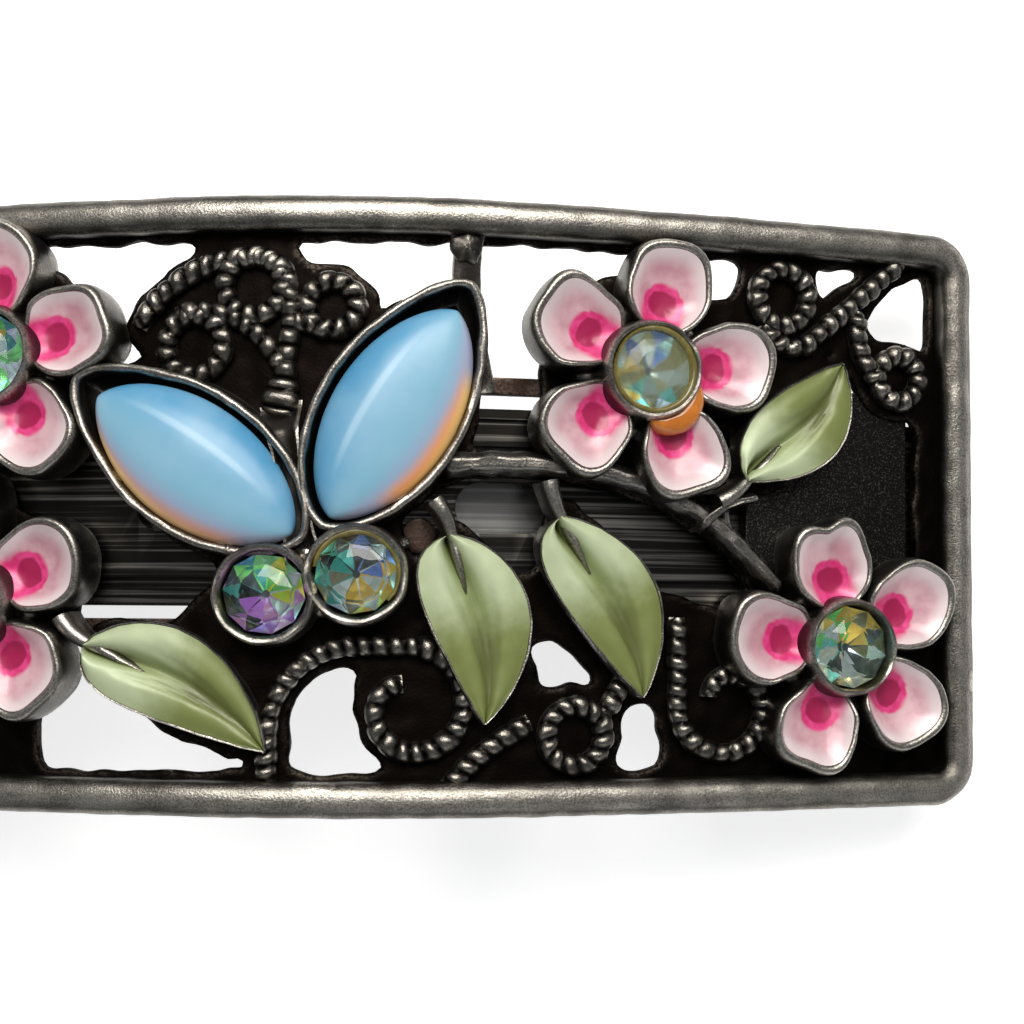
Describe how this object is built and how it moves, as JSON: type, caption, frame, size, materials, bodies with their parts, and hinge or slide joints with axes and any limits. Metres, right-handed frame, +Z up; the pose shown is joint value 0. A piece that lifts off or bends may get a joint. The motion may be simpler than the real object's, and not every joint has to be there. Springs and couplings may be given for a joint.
{
  "type": "hair clip",
  "caption": "Arched openwork hair clip with enamel flowers, leaves and an opal-winged butterfly, on a French clasp with hinged arm and squeeze catch.",
  "frame": {"origin": "middle of the bounding box at the level of the surface that the closed clip lies on", "axes": "+X along the clip towards the catch, +Y across it, +Z up out of the decorated face"},
  "size_m": [0.0678, 0.031, 0.0151],
  "materials": {
    "antique_casting": "antiqued dark metal, worn bright on the high spots",
    "petal_enamel": "pearly pink enamel, deep pink at the base",
    "leaf_enamel": "pearly green enamel",
    "opal_glass": "polished opal glass",
    "rhinestone": "faceted, iridescent coating, foil back",
    "aged_glue": "clear glue aged to amber",
    "clasp_steel": "dark plated",
    "spring_steel": "bright spring steel"
  },
  "bodies": {
    "front": {"back_rail_lower": "antique_casting", "back_rail_upper": "antique_casting", "butterfly_body": "antique_casting", "clasp_base": "clasp_steel", "corner_web_left": "antique_casting", "corner_web_right": "antique_casting", "cross_strut": "antique_casting", "eye_stone_left": "rhinestone", "eye_stone_right": "rhinestone", "flower_cup_1": "antique_casting", "flower_cup_2": "antique_casting", "flower_cup_3": "antique_casting", "flower_cup_4": "antique_casting", "flower_stone_1": "rhinestone", "flower_stone_2": "rhinestone", "flower_stone_3": "rhinestone", "flower_stone_4": "rhinestone", "glue_beads": "aged_glue", "hinge_pin": "spring_steel", "leaf_cup_1": "antique_casting", "leaf_cup_2": "antique_casting", "leaf_cup_3": "antique_casting", "leaf_cup_4": "antique_casting", "leaf_cup_5": "antique_casting", "leaf_cup_6": "antique_casting", "leaf_enamel_1": "leaf_enamel", "leaf_enamel_2": "leaf_enamel", "leaf_enamel_3": "leaf_enamel", "leaf_enamel_4": "leaf_enamel", "leaf_enamel_5": "leaf_enamel", "leaf_enamel_6": "leaf_enamel", "mounting_pad_left": "antique_casting", "mounting_pad_right": "antique_casting", "opal_left": "opal_glass", "opal_right": "opal_glass", "petal_enamel_1": "petal_enamel", "petal_enamel_2": "petal_enamel", "petal_enamel_3": "petal_enamel", "petal_enamel_4": "petal_enamel", "rim_left_end": "antique_casting", "rim_lower_rail": "antique_casting", "rim_right_end": "antique_casting", "rim_upper_rail": "antique_casting", "rivet_pegs": "antique_casting", "scroll_1": "antique_casting", "scroll_2": "antique_casting", "scroll_3": "antique_casting", "scroll_4": "antique_casting", "scroll_5": "antique_casting", "scroll_6": "antique_casting", "scroll_7": "antique_casting", "tension_spring": "spring_steel", "twig": "antique_casting", "wing_bezel_left": "antique_casting", "wing_bezel_right": "antique_casting"},
    "clasp_arm": {"clasp_arm": "clasp_steel"},
    "catch_prong_upper": {"catch_prong_upper": "clasp_steel"},
    "catch_prong_lower": {"catch_prong_lower": "clasp_steel"}
  },
  "joints": [
    {"name": "arm_hinge", "type": "hinge", "parent": "front", "child": "clasp_arm", "pos_m": [-0.0295, 0, 0.0013], "axis": [0, 1, 0], "range_deg": [0, 85]},
    {"name": "prong_squeeze_upper", "type": "hinge", "parent": "front", "child": "catch_prong_upper", "pos_m": [0.0288, 0.00295, 0.0032], "axis": [-1, 0, 0], "range_deg": [0, 10], "stiffness_Nm_per_rad": 0.0002},
    {"name": "prong_squeeze_lower", "type": "hinge", "parent": "front", "child": "catch_prong_lower", "pos_m": [0.0288, -0.00295, 0.0032], "axis": [1, 0, 0], "range_deg": [0, 10], "stiffness_Nm_per_rad": 0.0002}
  ],
  "couplings": [
    {"joint": "prong_squeeze_lower", "follows": "prong_squeeze_upper", "ratio": 1}
  ]
}
